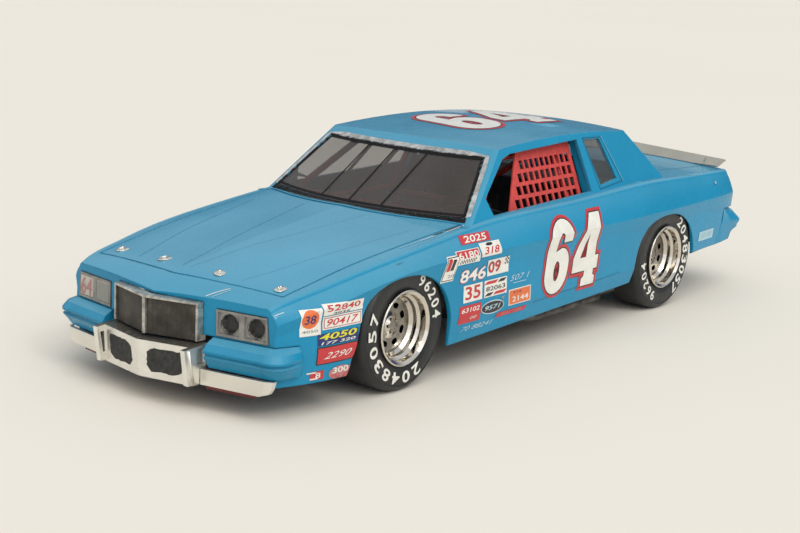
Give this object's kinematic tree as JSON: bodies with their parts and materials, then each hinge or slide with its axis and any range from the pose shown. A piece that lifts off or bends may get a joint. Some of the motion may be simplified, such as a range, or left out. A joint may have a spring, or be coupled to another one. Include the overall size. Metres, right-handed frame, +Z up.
{
  "type": "scale model stock car",
  "caption": "Scale model of a two-door closed-cockpit racing saloon on slick tyres, with an opening bonnet, roll cage, window net and rear spoiler.",
  "frame": {"origin": "on the ground, midway between the axles on the car's centre line, under the middle of its length", "axes": "+X to the car's front, +Y to its left (driver's) side, +Z up"},
  "size_m": [0.2134, 0.074, 0.052],
  "materials": {
    "paint_blue": "gloss paint over moulded plastic",
    "bright_plating": "bright plating",
    "silver_paint": "silver paint over moulded plastic",
    "mesh_black": "matt black paint",
    "cover_white": "white gloss",
    "dark_red": "gloss paint",
    "lamp_red": "clear red lacquer",
    "clear_glass": "clear moulded plastic",
    "net_red": "red moulded webbing",
    "cage_red": "red paint",
    "seat_black": "matt black",
    "tub_grey": "satin grey",
    "engine_orange": "engine enamel",
    "air_cleaner_plating": "bright plating on plastic",
    "cast_metal": "steel-coloured paint",
    "tyre_rubber": "soft vinyl, matt"
  },
  "bodies": {
    "chassis": {"body_shell": "paint_blue", "grille_frame": "bright_plating", "grille_mesh": "mesh_black", "front_bumper": "bright_plating", "lamp_bezel_left": "silver_paint", "lamp_bezel_right": "silver_paint", "lamp_covers_right": "cover_white", "bumper_cover": "paint_blue", "lower_strip": "bright_plating", "air_dam": "dark_red", "rear_bumper": "paint_blue", "tail_lamps": "lamp_red", "spoiler": "silver_paint", "windscreen": "clear_glass", "windscreen_braces": "mesh_black", "rear_window": "clear_glass", "quarter_window_left": "clear_glass", "quarter_window_right": "clear_glass", "window_net": "net_red", "roll_cage": "cage_red", "seat": "seat_black", "dashboard": "mesh_black", "steering_wheel": "mesh_black", "interior_tub": "tub_grey", "inner_fenders_front": "tub_grey", "wheel_tubs_rear": "tub_grey", "frame": "cage_red", "engine_block": "engine_orange", "valve_covers": "silver_paint", "air_cleaner": "air_cleaner_plating", "radiator": "mesh_black", "fan": "tub_grey", "exhaust_left": "silver_paint", "exhaust_right": "silver_paint", "gearbox": "cast_metal", "drive_shaft": "cast_metal", "rear_axle": "cast_metal", "rear_springs": "silver_paint", "front_suspension": "cast_metal", "knuckle_left": "cast_metal", "knuckle_right": "cast_metal", "fuel_cell": "mesh_black"},
    "bonnet": {"hood": "paint_blue"},
    "wheel_front_left": {"tyre_front_left": "tyre_rubber", "rim_front_left": "bright_plating"},
    "wheel_front_right": {"tyre_front_right": "tyre_rubber", "rim_front_right": "bright_plating"},
    "wheel_rear_left": {"tyre_rear_left": "tyre_rubber", "rim_rear_left": "bright_plating"},
    "wheel_rear_right": {"tyre_rear_right": "tyre_rubber", "rim_rear_right": "bright_plating"}
  },
  "joints": [
    {"name": "bonnet_hinge", "type": "hinge", "parent": "chassis", "child": "bonnet", "pos_m": [0.0334, 0, 0.03395], "axis": [0, -1, 0], "range_deg": [0, 55]},
    {"name": "wheel_front_left_spin", "type": "hinge", "parent": "chassis", "child": "wheel_front_left", "pos_m": [0.0582, 0.0292, 0.01475], "axis": [0, 1, 0], "continuous": true},
    {"name": "wheel_front_right_spin", "type": "hinge", "parent": "chassis", "child": "wheel_front_right", "pos_m": [0.0582, -0.0292, 0.01475], "axis": [0, 1, 0], "continuous": true},
    {"name": "wheel_rear_left_spin", "type": "hinge", "parent": "chassis", "child": "wheel_rear_left", "pos_m": [-0.0582, 0.0292, 0.01475], "axis": [0, 1, 0], "continuous": true},
    {"name": "wheel_rear_right_spin", "type": "hinge", "parent": "chassis", "child": "wheel_rear_right", "pos_m": [-0.0582, -0.0292, 0.01475], "axis": [0, 1, 0], "continuous": true}
  ]
}
